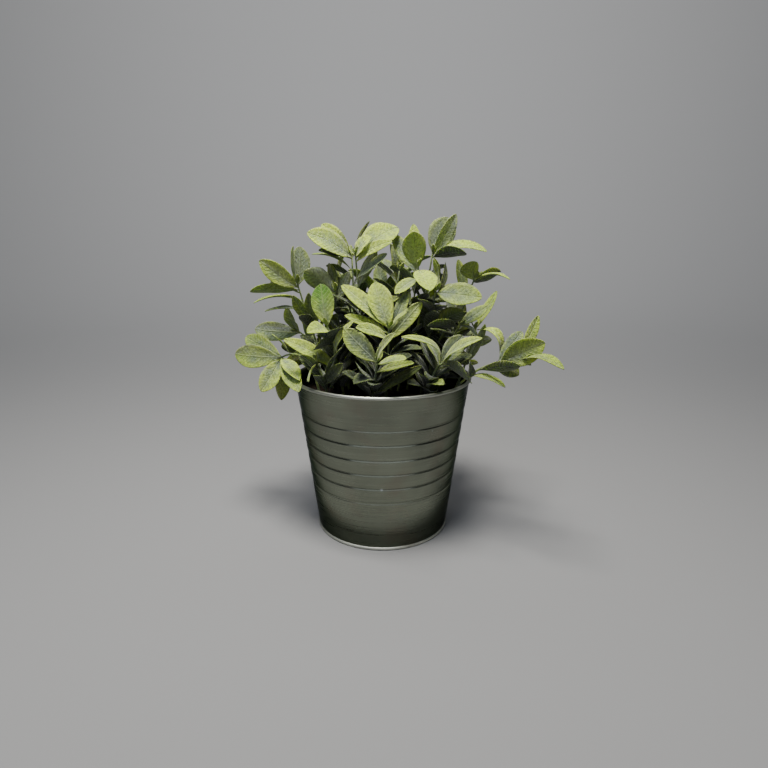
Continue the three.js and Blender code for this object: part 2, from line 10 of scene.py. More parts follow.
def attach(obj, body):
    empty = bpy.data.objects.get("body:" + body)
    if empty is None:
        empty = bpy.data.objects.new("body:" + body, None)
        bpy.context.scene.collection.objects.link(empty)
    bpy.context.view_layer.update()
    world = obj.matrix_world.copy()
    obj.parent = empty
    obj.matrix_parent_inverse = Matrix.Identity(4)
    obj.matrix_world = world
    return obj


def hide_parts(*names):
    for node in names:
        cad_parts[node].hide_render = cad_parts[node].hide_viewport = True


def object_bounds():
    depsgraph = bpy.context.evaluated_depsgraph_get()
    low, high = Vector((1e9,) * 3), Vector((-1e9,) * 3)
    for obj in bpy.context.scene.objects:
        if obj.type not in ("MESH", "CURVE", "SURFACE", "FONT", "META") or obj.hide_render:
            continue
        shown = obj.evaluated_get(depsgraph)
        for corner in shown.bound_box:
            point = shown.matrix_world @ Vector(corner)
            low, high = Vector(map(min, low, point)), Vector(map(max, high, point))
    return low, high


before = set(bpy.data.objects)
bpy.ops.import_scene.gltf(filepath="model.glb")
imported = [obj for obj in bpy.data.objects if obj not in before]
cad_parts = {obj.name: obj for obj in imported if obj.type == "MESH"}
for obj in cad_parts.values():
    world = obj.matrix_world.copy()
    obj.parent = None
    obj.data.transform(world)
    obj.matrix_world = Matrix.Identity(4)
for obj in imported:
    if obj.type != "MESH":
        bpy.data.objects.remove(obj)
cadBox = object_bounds()
mm = 0.001


# general helpers

def linearColour(hexColour):
    parts = [int(hexColour[i:i + 2], 16) / 255 for i in (1, 3, 5)]
    return [c / 12.92 if c <= 0.04045 else ((c + 0.055) / 1.055) ** 2.4 for c in parts] + [1]


def lerp(low, high, share):
    return low + (high - low) * share


def smoothStep(low, high, value):
    share = min(max((value - low) / (high - low), 0), 1)
    return share * share * (3 - 2 * share)


def randomFrom(seed):  # the same seeded draws as the model's source makes
    state = [seed]

    def draw(low, high):
        state[0] = (state[0] * 1664525 + 1013904223) % 2 ** 32
        return low + state[0] / 2 ** 32 * (high - low)
    return draw


def addNode(tree, kind, sockets={}, **settings):  # a socket takes a value or another node's output
    node = tree.nodes.new("ShaderNode" + kind)
    for name, value in settings.items():
        setattr(node, name, value)
    for name, value in sockets.items():
        if isinstance(value, bpy.types.NodeSocket):
            tree.links.new(value, node.inputs[name])
        else:
            node.inputs[name].default_value = value
    return node


def startMaterial(name):
    material = bpy.data.materials.new(name)
    material.use_nodes = True
    tree = material.node_tree
    tree.nodes.clear()
    surface = addNode(tree, "BsdfPrincipled")
    addNode(tree, "OutputMaterial", {"Surface": surface.outputs["BSDF"]})
    return material, tree, surface


def finishPiece(bm, name, material, nodes):
    mesh = bpy.data.meshes.new(name)
    bm.to_mesh(mesh)
    bm.free()
    mesh.shade_smooth()
    mesh.materials.append(material)
    piece = bpy.data.objects.new(name, mesh)
    bpy.context.scene.collection.objects.link(piece)
    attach(piece, "root")
    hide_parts(*nodes)
    return piece


def turnProfile(bm, profile, steps):  # [radius, height] in mm, closed, turned round the pot's axis
    verts = [bm.verts.new((radius * mm, 0, height * mm)) for radius, height in profile]
    edges = [bm.edges.new((verts[i], verts[(i + 1) % len(verts)])) for i in range(len(verts))]
    bmesh.ops.spin(bm, geom=verts + edges, cent=(0, 0, 0), axis=(0, 0, 1), angle=2 * math.pi,
                   steps=steps, use_merge=True, use_duplicate=False)
    bmesh.ops.remove_doubles(bm, verts=bm.verts[:], dist=1e-6)
    bmesh.ops.recalc_face_normals(bm, faces=bm.faces[:])


# camera and light, set for the picture's own view

view = {
    "eye": (0, -0.4007, 0.2162),
    "downwards": 14.63,  # degrees
    "focal": 541.5 / 768,  # as a share of the picture's width
    "axisAt": 382.5 / 768,  # where the middle of the view lies across the picture
}


def addCamera():
    data = bpy.data.cameras.new("camera")
    data.sensor_width = 36
    data.lens = view["focal"] * data.sensor_width
    data.shift_x = 0.5 - view["axisAt"]
    data.clip_start = 0.01
    camera = bpy.data.objects.new("camera", data)
    camera.location = view["eye"]
    camera.rotation_euler = (math.radians(90 - view["downwards"]), 0, 0)
    bpy.context.scene.collection.objects.link(camera)
    bpy.context.scene.camera = camera


light = {
    "softboxes": [  # name, place, aimed at, width, height, watts, colour
        ("keyLight", (-0.06, -0.17, 0.8), (0, 0, 0.14), 0.22, 0.22, 9.6, "#fffcf6"),
        ("topFill", (-0.45, -0.8, 0.9), (0, 0, 0.14), 0.6, 0.6, 2.7, "#dde8fc"),
        ("frontPanel", (0, -1.15, 0.25), (0, 0, 0.1), 2.2, 0.4, 2.7, "#e8ebf6"),
        ("backdropLight", (0, 0.9, 1.7), (0, 2.4, 0.7), 1.6, 0.4, 42, "#ffffff"),
    ],
    "sky": "#7c9fd0", "skyStrength": 0.11,
    "floor": "#929292", "floorRadius": 1.2, "sweepRadius": 1.3, "wallHeight": 2.8,
}


def addLights():
    for name, place, target, width, height, watts, colour in light["softboxes"]:
        data = bpy.data.lights.new(name, "AREA")
        data.shape = "RECTANGLE"
        data.size, data.size_y = width, height
        data.energy = watts
        data.color = linearColour(colour)[:3]
        lamp = bpy.data.objects.new(name, data)
        lamp.location = place
        lamp.rotation_euler = (Vector(target) - Vector(place)).to_track_quat("-Z", "Y").to_euler()
        bpy.context.scene.collection.objects.link(lamp)
    world = bpy.data.worlds.new("sky")
    world.use_nodes = True
    background = world.node_tree.nodes["Background"]
    background.inputs["Color"].default_value = linearColour(light["sky"])
    background.inputs["Strength"].default_value = light["skyStrength"]
    bpy.context.scene.world = world


def addFloor():  # one painted sweep: a floor that curves up into a round wall
    profile = [(0.01, -0.2), (light["floorRadius"] * 1000, -0.2)]
    for step in range(1, 13):
        angle = math.pi / 2 * step / 12
        profile.append((1000 * (light["floorRadius"] + light["sweepRadius"] * math.sin(angle)),
                        1000 * light["sweepRadius"] * (1 - math.cos(angle))))
    profile.append((profile[-1][0], light["wallHeight"] * 1000))
    bm = bmesh.new()
    verts = [bm.verts.new((radius * mm, 0, height * mm)) for radius, height in profile]
    edges = [bm.edges.new(pair) for pair in zip(verts, verts[1:])]
    bmesh.ops.spin(bm, geom=verts + edges, cent=(0, 0, 0), axis=(0, 0, 1), angle=2 * math.pi,
                   steps=96, use_merge=True, use_duplicate=False)
    mesh = bpy.data.meshes.new("floor")
    bm.to_mesh(mesh)
    bm.free()
    mesh.shade_smooth()
    material, tree, surface = startMaterial("matt painted board")  # no gloss, so it only catches shadows
    surface.inputs["Base Color"].default_value = linearColour(light["floor"])
    surface.inputs["Roughness"].default_value = 0.9
    surface.inputs["Specular IOR Level"].default_value = 0.1
    mesh.materials.append(material)
    floor = bpy.data.objects.new("floor", mesh)
    bpy.context.scene.collection.objects.link(floor)


addCamera()
addLights()
addFloor()
print("camera, lights and floor are set")


# pot, in mm as in the model

pot = {
    "height": 120, "topRadius": 65.8, "footRadius": 50.6, "thickness": 1.0,
    "beadRadius": 1.25,
    "neck": 2, "beadTurn": (-75, 195), "beadSteps": 12,  # the rolled rim stands on the neck
    "ringHeights": [95, 84, 72.5, 61.5, 50.5, 39], "ringDepth": 0.34, "ringReach": 1.3,
    "bulge": 0.22, "bulgeFade": 6, "ringSteps": 6, "plainGap": 1.6, "plainAbove": 107, "plainBelow": 30,
    "seamHeight": 2.4, "seamWidth": 2.2, "seamStandOut": 0.7, "seamRounding": 1.0, "seamSteps": 5,
    "seatGap": 0.3,
    "discLift": 1.2, "discThickness": 0.8,
    "sides": 144,
    "steel": "#808577", "seamSteel": "#dadccf", "rimSteel": "#bec1b4",
    "edgeTint": "#72777a", "stain": "#7f766a",  # the first darkens the wall towards its outline
    "wallRoughness": 0.23, "seamRoughness": 0.46, "rimRoughness": 0.42, "rimFrom": 117,
    "duller": 0.07, "dullerFrom": 55, "dullerTo": 15,  # the wall is rougher towards the foot
    "spots": 45, "spotSize": 0.055, "spotShade": "#b4b9b8",  # a few dried drops, by Voronoi scale
}


def wallRadius(height):
    return lerp(pot["footRadius"], pot["topRadius"], height / pot["height"])


def ringedRadius(height):  # the wall's radius with its pressed rings, and a faint bulge between them
    depth = 0
    rings = pot["ringHeights"]
    for ring in rings:
        away = abs(height - ring) / pot["ringReach"]
        if away < 1:
            depth += pot["ringDepth"] * math.cos(away * math.pi / 2) ** 2
    for upper, lower in zip(rings, rings[1:]):
        if lower <= height <= upper:
            depth += pot["bulge"] * math.cos(math.pi * (height - lower) / (upper - lower)) ** 2
    for end, way in ((rings[0], 1), (rings[-1], -1)):  # fades out above and below the rings
        away = (height - end) * way
        if 0 < away < pot["bulgeFade"]:
            depth += pot["bulge"] * math.cos(math.pi / 2 * away / pot["bulgeFade"]) ** 2
    return wallRadius(height) - depth


def makeSteel(name, colour, roughness):  # rolled zinc-coated sheet: satin, with fine streaks round the pot
    material, tree, surface = startMaterial(name)
    place = addNode(tree, "TexCoord").outputs["Object"]
    # streaks about 1 mm high and 40 mm long: the real ones are finer and wouldn't show
    streakPlace = addNode(tree, "Mapping", {"Vector": place, "Scale": (25, 25, 900)})
    streaks = addNode(tree, "TexNoise", {"Vector": streakPlace.outputs[0], "Scale": 1, "Detail": 4})
    # clouds of 30 to 45 mm, and stains of 18 mm
    cloudPlace = addNode(tree, "Mapping", {"Vector": place, "Scale": (30, 30, 22)})
    clouds = addNode(tree, "TexNoise", {"Vector": cloudPlace.outputs[0], "Scale": 1, "Detail": 3})
    shade = addNode(tree, "MapRange", {"Value": clouds.outputs["Fac"], 1: 0.3, 2: 0.7, 3: 0.84, 4: 1.12})
    lines = addNode(tree, "MapRange", {"Value": streaks.outputs["Fac"], 1: 0.35, 2: 0.65, 3: 0.93, 4: 1.07})
    mottle = addNode(tree, "Math", {0: shade.outputs[0], 1: lines.outputs[0]}, operation="MULTIPLY")
    browner = addNode(tree, "TexNoise", {"Vector": place, "Scale": 55, "Detail": 3})
    stain = addNode(tree, "MapRange", {"Value": browner.outputs["Fac"], 1: 0.5, 2: 0.75, 3: 0, 4: 0.45})
    stained = addNode(tree, "Mix", {0: stain.outputs[0], 6: linearColour(colour),
                                    7: linearColour(pot["stain"])}, data_type="RGBA")
    tint = addNode(tree, "Mix", {0: 1.0, 6: stained.outputs[2], 7: mottle.outputs[0]},
                   data_type="RGBA", blend_type="MULTIPLY")
    # dried drops, few because the wall meets few of the pattern's points
    drops = addNode(tree, "TexVoronoi", {"Vector": place, "Scale": pot["spots"]})
    drop = addNode(tree, "MapRange", {"Value": drops.outputs["Distance"], 1: pot["spotSize"] * 0.6,
                                      2: pot["spotSize"], 3: 0.7, 4: 0})
    spotted = addNode(tree, "Mix", {0: drop.outputs[0], 6: tint.outputs[2],
                                    7: linearColour(pot["spotShade"])}, data_type="RGBA")
    # the rolled rim is worn brighter and matter than the wall
    height = addNode(tree, "SeparateXYZ", {0: place}).outputs["Z"]
    rim = addNode(tree, "MapRange", {"Value": height, 1: pot["rimFrom"] * mm, 2: (pot["rimFrom"] + 0.6) * mm})
    worn = addNode(tree, "Mix", {0: rim.outputs[0], 6: spotted.outputs[2], 7: linearColour(pot["rimSteel"])},
                   data_type="RGBA")
    tree.links.new(worn.outputs[2], surface.inputs["Base Color"])
    rough = addNode(tree, "MapRange", {"Value": streaks.outputs["Fac"], 1: 0.3, 2: 0.7,
                                       3: roughness - 0.05, 4: roughness + 0.06})
    duller = addNode(tree, "MapRange", {"Value": height, 1: pot["dullerTo"] * mm, 2: pot["dullerFrom"] * mm,
                                        3: pot["duller"], 4: 0}, interpolation_type="SMOOTHSTEP")
    dull = addNode(tree, "Math", {0: rough.outputs[0], 1: duller.outputs[0]}, operation="ADD")
    rougher = addNode(tree, "Mix", {0: rim.outputs[0], 2: dull.outputs[0], 3: pot["rimRoughness"]})
    tree.links.new(rougher.outputs[0], surface.inputs["Roughness"])
    surface.inputs["Metallic"].default_value = 1
    surface.inputs["Specular Tint"].default_value = linearColour(pot["edgeTint"])
    bump = addNode(tree, "Bump", {"Height": streaks.outputs["Fac"], "Strength": 0.12, "Distance": 0.0002})
    tree.links.new(bump.outputs[0], surface.inputs["Normal"])
    return material


def addPotWall():
    foot = pot["seamHeight"] + pot["seatGap"]
    beadHeight = pot["height"] - pot["beadRadius"]
    beadMiddle = wallRadius(beadHeight)
    neck = beadHeight - pot["neck"]
    heights = {foot, neck}
    rings, steps, gap = pot["ringHeights"], pot["ringSteps"], pot["plainGap"]
    for ring in rings:
        heights |= {ring + pot["ringReach"] * step / steps for step in range(-steps, steps + 1)}
    for upper, lower in zip([pot["plainAbove"]] + rings, rings + [pot["plainBelow"]]):
        heights |= {lerp(lower + gap, upper - gap, step / steps) for step in range(steps + 1)}
    profile = [(ringedRadius(height), height) for height in sorted(heights)]
    for step in range(pot["beadSteps"] + 1):
        angle = math.radians(lerp(*pot["beadTurn"], step / pot["beadSteps"]))
        profile.append((beadMiddle + pot["beadRadius"] * math.cos(angle),
                        beadHeight + pot["beadRadius"] * math.sin(angle)))
    profile.append((wallRadius(neck) - pot["thickness"], neck))  # the inner face
    profile.append((wallRadius(foot) - pot["thickness"], foot))
    bm = bmesh.new()
    turnProfile(bm, profile, pot["sides"])
    steel = makeSteel("zinc-coated steel", pot["steel"], pot["wallRoughness"])
    finishPiece(bm, "potWall", steel, ["pot_wall"])


def addPotBottom():
    outer = wallRadius(0) + pot["seamStandOut"]
    inner = outer - pot["seamWidth"]
    rounding = pot["seamRounding"]
    profile = [(0, pot["discLift"]), (inner, pot["discLift"]), (inner, 0)]
    steps = pot["seamSteps"]
    for middle, turn in ((rounding, -90), (pot["seamHeight"] - rounding, 0)):
        for step in range(steps + 1):
            angle = math.radians(turn + 90 * step / steps)
            profile.append((outer - rounding + rounding * math.cos(angle),
                            middle + rounding * math.sin(angle)))
    top = pot["discLift"] + pot["discThickness"]
    profile += [(inner, pot["seamHeight"]), (inner, top), (0, top)]
    bm = bmesh.new()
    turnProfile(bm, profile, pot["sides"])
    steel = makeSteel("polished seam steel", pot["seamSteel"], pot["seamRoughness"])
    finishPiece(bm, "potBottom", steel, ["pot_bottom"])


addPotWall()
addPotBottom()
print("pot is made")


# soil

soil = {
    "top": 106, "mound": 2, "foot": 2.3, "rings": 26, "sides": 96, "wallGap": 0.3,
    "lump": 1.3, "lumpSize": 7, "fineLump": 0.5, "fineSize": 2.5, "lowered": 0.6,
    "crumbs": 240, "crumbSizes": (0.7, 2.0), "crumbGap": 3, "crumbLift": 0.2, "seed": 3,
    "dark": "#1a130d", "light": "#43362a",
}


def soilHeight(x, y):
    away = math.hypot(x, y) / wallRadius(soil["top"])
    lump = noise.noise(Vector((x, y, 0)) / soil["lumpSize"])
    lump += soil["fineLump"] * noise.noise(Vector((x, y, 9)) / soil["fineSize"])
    return soil["top"] + soil["mound"] * (1 - away ** 2) + soil["lump"] * lump - soil["lowered"]


def addSoil():
    edge = wallRadius(soil["top"]) - pot["thickness"] - soil["wallGap"]
    foot = wallRadius(soil["foot"]) - pot["thickness"] - soil["wallGap"]
    profile = [(edge * step / soil["rings"], soil["top"]) for step in range(soil["rings"] + 1)]
    profile += [(foot, soil["foot"]), (0, soil["foot"])]
    bm = bmesh.new()
    turnProfile(bm, profile, soil["sides"])
    for vert in bm.verts:
        if vert.co.z > (soil["top"] - 1) * mm:
            vert.co.z = soilHeight(vert.co.x / mm, vert.co.y / mm) * mm
    draw = randomFrom(soil["seed"])
    for _ in range(soil["crumbs"]):  # bark and peat crumbs, sunk a little
        away, turn = (edge - soil["crumbGap"]) * math.sqrt(draw(0, 1)), draw(0, 2 * math.pi)
        size = draw(*soil["crumbSizes"])
        x, y = away * math.cos(turn), away * math.sin(turn)
        made = bmesh.ops.create_icosphere(bm, subdivisions=1, radius=size * mm)
        bmesh.ops.scale(bm, vec=(1, draw(0.6, 1), draw(0.4, 0.8)), verts=made["verts"])
        axis = Vector((draw(-1, 1), draw(-1, 1), draw(0.2, 1))).normalized()
        spin = Quaternion(axis, draw(0, 3)).to_matrix()
        bmesh.ops.rotate(bm, cent=(0, 0, 0), matrix=spin, verts=made["verts"])
        lifted = Vector((x, y, soilHeight(x, y) + soil["crumbLift"] * size))
        bmesh.ops.translate(bm, vec=lifted * mm, verts=made["verts"])
    material, tree, surface = startMaterial("damp potting soil")  # dark, rough, with paler fibres
    place = addNode(tree, "TexCoord").outputs["Object"]
    grain = addNode(tree, "TexNoise", {"Vector": place, "Scale": 700, "Detail": 5})  # 1.4 mm grains
    share = addNode(tree, "MapRange", {"Value": grain.outputs["Fac"], 1: 0.45, 2: 0.75})
    mix = addNode(tree, "Mix", {0: share.outputs[0], 6: linearColour(soil["dark"]),
                                7: linearColour(soil["light"])}, data_type="RGBA")
    tree.links.new(mix.outputs[2], surface.inputs["Base Color"])
    surface.inputs["Roughness"].default_value = 0.95
    surface.inputs["Specular IOR Level"].default_value = 0.2
    bump = addNode(tree, "Bump", {"Height": grain.outputs["Fac"], "Strength": 0.8, "Distance": 0.0008})
    tree.links.new(bump.outputs[0], surface.inputs["Normal"])
    finishPiece(bm, "soilPlug", material, ["soil"])


addSoil()
print("soil is made")


# stems and leaves: the same lists and rules as in the model's source, in mm

plant = {
    "soilTop": 106, "rootDepth": 8, "stemSteps": 5, "lastRoot": 0.985,
    "sightBack": 400.7, "sightUp": 216.2,  # the point from which the front leaves are placed
    "cadThickness": 0.7, "sameTip": 0.05, "arcSteps": 200,
}

faces = {
    "front": (0, -1, 0.25), "rise": (0, -0.7, 0.7), "top": (0, -0.15, 1), "under": (0, 0.6, 0.8),
    "back": (0, 1, 0.2), "left": (-0.9, -0.4, 0.15), "right": (0.9, -0.4, 0.15),
}

# each sprig's leaves: place on the stem, tip as seen, width, way it faces, arch, colouring (the dark
# colouring is painted shade)
frontSprigs = {
    "sprig_top_left": {"foot": (-14, 10), "bend": (-21, 150, 10), "apex": (-22, 207, 6), "leaves": [
        (1, (-54, 223, -8), 18, (0, -0.8, 0.6), 3, "pale"),
        (1, (-43, 229, 12), 13, "front", 4, "lime"),
        (0.98, (-46, 211, -4), 9, "under", 2, "dark"),
        (0.9, (-51, 208, 2), 8, "top", 4, "olive"),
        (0.84, (-41, 200, 12), 8, "under", 2, "dark"),
        (0.97, (-9, 231, 20), 5, (-0.8, 0.5, 0.2), 1, "dark"),
    ]},
    "sprig_left_tall": {"foot": (-36, 8), "bend": (-52, 150, 10), "apex": (-62, 187, 6), "leaves": [
        (1, (-63.5, 214, -5), 10, (-0.8, -0.5, 0.3), 1, "sage"),
        (1, (-59.5, 213.5, 4), 15, (0.4, -0.9, 0.2), 1, "grey"),
        (0.97, (-89, 204, -4), 13.5, "front", 2, "rim"),
        (0.95, (-97, 181.5, -2), 13.5, "under", 1, "olive"),
        (0.92, (-82, 188, 20), 10, "under", 1, "olive"),
        (0.86, (-95, 173, 8), 8, "top", 4, "olive"),
        (0.78, (-87, 167, -2), 7, "top", 2, "dark"),
        (0.7, (-66, 179, -8), 8, "front", 1, "grey"),
        (0.6, (-54, 181, -6), 8, "front", 1, "grey"),
    ]},
    "sprig_left_inner": {"foot": (-24, 2), "bend": (-32, 145, 0), "apex": (-35, 182, -4), "leaves": [
        (1, (-57, 196, -10), 16, "back", 2, "silver"),
        (0.97, (-39, 202, 2), 8, "under", 1, "dark"),
        (0.9, (-24, 196, 4), 9, "back", 1, "grey"),
    ]},
    "sprig_left_low": {"foot": (-46, -10), "bend": (-53, 146, -8), "apex": (-77, 132, -8), "leaves": [
        (1, (-111, 135, 2), 17, "front", 2, "rim"),
        (0.97, (-102, 148, 16), 14, (0, -0.9, 0.45), 2, "rim"),
        (1, (-63.5, 114.5, -36), 11, (0.4, -0.8, 0.5), 2, "pale"),
        (1, (-93, 106, -18), 14, "front", 2, "pale"),
        (0.98, (-78, 99, 0), 12, "back", 1, "dark"),
        (0.98, (-64, 105.5, -24), 13, "rise", 1, "sage"),
        (0.86, (-83, 150, -16), 7, "top", 1, "olive"),
    ]},
    "sprig_left_mid": {"foot": (-38, 20), "bend": (-48, 142, 24), "apex": (-62, 152, 22), "leaves": [
        (0.98, (-95, 154, 26), 15, "front", 2, "silver"),
        (1, (-70, 171, 12), 11, (-0.5, -0.7, 0.5), 2, "sage"),
        (0.72, (-76, 141, 14), 12, "back", 1, "dark"),
        (0.6, (-74, 127, 8), 12, "back", 1, "dark"),
        (0.85, (-51, 174, 6), 12, "front", 1, "silver"),
    ]},
    "sprig_left_front": {"foot": (-26, -24), "bend": (-35, 135, -26), "apex": (-41, 156, -26), "leaves": [
        (1, (-45, 187, -18), 16, (0, -0.9, 0.3), 2, "green"),
        (0.92, (-56.5, 151, -44), 12, (0.2, -0.5, 0.8), 4, "lime"),
        (0.5, (-74, 146, -34), 11, "rise", 4, "pale"),
        (0.8, (-51, 139, -36), 13, (0, 0.9, 0.4), 1, "dark"),
        (0.5, (-20, 161, -44), 7, "left", 7, "pale"),
    ]},
    "sprig_rim_left": {"foot": (-36, -34), "bend": (-44, 116, -38), "apex": (-50, 128, -40), "leaves": [
        (1, (-56, 113.5, -52), 9, "left", 1, "olive"),
        (0.97, (-46, 119, -52), 7, "right", 1, "dark"),
        (0.6, (-30, 128, -50), 8, "front", 1, "dark"),
        (0.8, (-62, 134, -42), 9, "under", 1, "dark"),
    ]},
    "sprig_centre_top": {"foot": (-6, -4), "bend": (-15, 150, -4), "apex": (-19.5, 207, -10), "leaves": [
        (1, (11, 226.5, 4), 20, (0, -0.75, 0.65), 4, "pale"),
        (0.99, (-7.5, 220.5, -14), 12, (0, -0.55, 0.85), 3, "pale"),
        (0.96, (7, 217, -24), 9, (0, -0.8, 0.6), 3, "lime"),
        (0.86, (3.5, 208.5, -22), 8, (-0.3, -0.7, 0.6), 1, "silver"),
        (0.8, (-4, 210.5, -6), 8, "front", 1, "silver"),
        (0.62, (12, 177, -16), 9, "rise", 2, "sage"),
    ]},
    "sprig_centre_right": {"foot": (10, -2), "bend": (20, 150, -2), "apex": (26, 199, -8), "leaves": [
        (1, (22, 224, -16), 17, "back", 1, "sage"),
        (1, (22, 229, 2), 9, "front", 1, "lime"),
        (0.98, (35, 182, -34), 16, (0.1, -0.7, 0.7), 2, "lime"),
        (0.92, (9, 180, -26), 9, "rise", 2, "pale"),
        (0.95, (7.5, 221.5, 4), 12, (0.1, -0.9, 0.35), 1, "silver"),
        (0.9, (5, 199, 2), 12, "under", 1, "silver"),
        (0.7, (7, 214, 8), 9, "back", 1, "grey"),
    ]},
    "sprig_top_right": {"foot": (20, 14), "bend": (29, 160, 12), "apex": (36, 209, 6), "leaves": [
        (1, (47, 233.5, 14), 20, (0, -0.95, 0.3), 1, "grey"),
        (1, (52, 236, 2), 10, (0.3, -0.9, 0.35), 1, "silver"),
        (0.99, (75, 210, -6), 13, (0, -0.45, 0.9), 6, "lime"),
        (0.97, (60, 209, -18), 13, (0, 0.75, 0.65), 2, "dark"),
        (0.85, (46, 199, 22), 9, "under", 2, "dark"),
    ]},
    "sprig_right_upper": {"foot": (28, -8), "bend": (34, 150, -12), "apex": (39, 182, -16), "leaves": [
        (1, (73, 177, -34), 17, (0, -0.85, 0.5), 2, "sage"),
        (0.98, (37, 205, -14), 7, "left", -3, "lime"),
        (0.95, (45, 203, -2), 8, "right", 2, "dark"),
        (0.7, (60, 167, -30), 13, "back", 1, "dark"),
        (0.75, (20, 172, -24), 9, "under", 1, "dark"),
    ]},
    "sprig_right_tall": {"foot": (38, 10), "bend": (52, 150, 8), "apex": (67, 191, 4), "leaves": [
        (1, (62, 202.5, -4), 14, "back", 1, "lime"),
        (1, (93, 190, -4), 9, (0, -0.1, 0.95), 4, "lime"),
        (0.97, (86, 196, 14), 12, (0, 0.8, 0.6), 1, "dark"),
        (0.8, (54.5, 204.5, 18), 8, "rise", 1, "sage"),
    ]},
    "sprig_right_mid": {"foot": (40, -6), "bend": (47, 135, -10), "apex": (57, 157, -18), "leaves": [
        (1, (78, 171, -20), 9.5, (-0.5, -0.7, 0.5), 1, "sage"),
        (0.99, (70, 147, -30), 9, (0.3, 0, 0.95), 3, "grey"),
        (0.97, (34, 157, -32), 14, "under", 1, "dark"),
        (0.85, (36, 154, -34), 9, "top", 1, "grey"),
        (0.6, (66, 130, -24), 12, "back", 1, "dark"),
    ]},
    "sprig_right_outer": {"foot": (49, -12), "bend": (66, 132, -14), "apex": (69, 154, -16), "leaves": [
        (1, (88.5, 132, -26), 9, (0.3, -0.5, 0.8), 12, "lime"),
        (0.98, (84, 182, -6), 7, (-0.6, -0.7, 0.3), 1, "olive"),
        (0.55, (76, 158, -28), 9, (0.6, -0.8, 0), 1, "silver"),
        (0.8, (82, 146, -8), 8, "back", 1, "silver"),
    ]},
    "sprig_right_low": {"foot": (44, -24), "bend": (62, 130, -30), "apex": (104, 130, -54), "leaves": [
        (0.8, (122, 144, -62), 17, "front", 2, "rim"),
        (0.78, (104, 152, -30), 10, (-0.3, -0.8, 0.4), 2, "grey"),
        (0.97, (115.5, 164, -36), 8, (0.3, -0.9, 0.3), 1, "olive"),
        (1, (138, 123, -73), 9, (0, -0.35, 0.95), 5, "olive"),
        (0.58, (104, 126, -68), 9, "back", 1, "dark"),
        (0.75, (104, 119, -44), 12, "back", 1, "dark"),
        (0.47, (94, 109, -50), 8, (0.3, -0.4, 0.9), 3, "olive"),
    ]},
    "sprig_right_front": {"foot": (28, -28), "bend": (38, 126, -36), "apex": (45.5, 128, -42), "leaves": [
        (1, (14, 148, -66), 6.5, (0.3, -0.5, 0.8), 8, "pale"),
        (1, (75, 147, -68), 8, (-0.3, -0.6, 0.75), 4, "pale"),
        (0.96, (60, 149, -34), 13, "front", 1, "grey"),
        (0.9, (32, 146, -34), 8, "top", 3, "sage"),
        (0.97, (67, 113, -68), 17, (0.2, 0.7, 0.5), 2, "dark"),
        (0.45, (47, 111, -62), 9, "rise", 3, "olive"),
    ]},
    "sprig_centre_front": {"foot": (2, -20), "bend": (4, 130, -28), "apex": (5, 155, -34), "leaves": [
        (1, (-6, 188, -24), 17, (0.1, -0.9, 0.4), 2, "pale"),
        (1, (-30, 186, -26), 12, "rise", 2, "pale"),
        (0.97, (18, 166, -52), 8, (-0.3, -0.5, 0.8), 1, "lime"),
        (0.85, (29, 174, -26), 10, (0.2, -0.9, 0.3), 1, "pale"),
        (0.95, (18, 182, -18), 8, "front", 1, "sage"),
        (0.86, (-20, 155, -46), 10, "rise", 2, "lime"),
        (0.93, (-28, 164, -32), 8, "rise", 1, "lime"),
    ]},
    "sprig_low_front": {"foot": (-8, -36), "bend": (-6, 114, -44), "apex": (-4, 129, -50), "leaves": [
        (1, (-29, 154, -48), 14, (0, -0.95, 0.3), 1, "sage"),
        (1, (10, 151, -76), 7, (-0.8, -0.5, 0.3), 3, "lime"),
        (0.95, (18, 131, -80), 8, "rise", 1, "pale"),
        (0.8, (24, 128, -66), 6, "rise", 1, "olive"),
        (0.7, (-20, 129, -62), 8, (-0.6, -0.6, 0.4), 1, "dark"),
        (0.4, (30, 126, -46), 6, "front", 1, "dark"),
    ]},
}

dome = {
    "count": 27, "seed": 12, "centreHeight": 118, "reach": 68, "reachSpread": 0.1, "rise": 80,
    "lowest": 0.12, "footShare": 0.5,
    "bendOut": 0.72, "bendUp": 0.75, "bendLift": 8,
}
upperPairs = {"places": (0.72, 0.9, 1), "spreads": (68, 58, 34), "lengths": (31, 33, 28), "slimness": 0.48}
lowerPairs = {"places": (0.43, 0.6), "spreads": (60, 66), "lengths": (28, 30), "slimness": 0.46}
frontPairs = {"places": (0.43, 0.6), "spreads": (40, 44), "lengths": (27, 28), "slimness": 0.36}
rule = {
    "lowerTurn": 45, "frontSeed": 5,
    "turn": (-15, 15), "spread": (-10, 10), "length": (0.85, 1.2), "arch": (1, 3.5),
    "depthShifts": (0, -3, 3, -6, 6, -9, 9, -13, 13, -17, 17),
    "swings": (0, 18, -18, 36, -36), "shortenings": (1, 0.84, 0.7),
}
crown = {"across": 2, "up": 140, "halfWidth": 66, "halfHeight": 80}  # an ellipse as seen from the front


def seen(point):  # from across and up as seen, and back in depth, to a place in the model
    across, up, back = point
    scale = (plant["sightBack"] + back) / plant["sightBack"]
    return Vector((across * scale, back, plant["sightUp"] + (up - plant["sightUp"]) * scale))


def crownShare(point):  # 1 at the crown's outline as seen from the front
    scale = (plant["sightBack"] + point.y) / plant["sightBack"]
    across = point.x / scale - crown["across"]
    up = plant["sightUp"] + (point.z - plant["sightUp"]) / scale - crown["up"]
    return math.hypot(across / crown["halfWidth"], up / crown["halfHeight"])


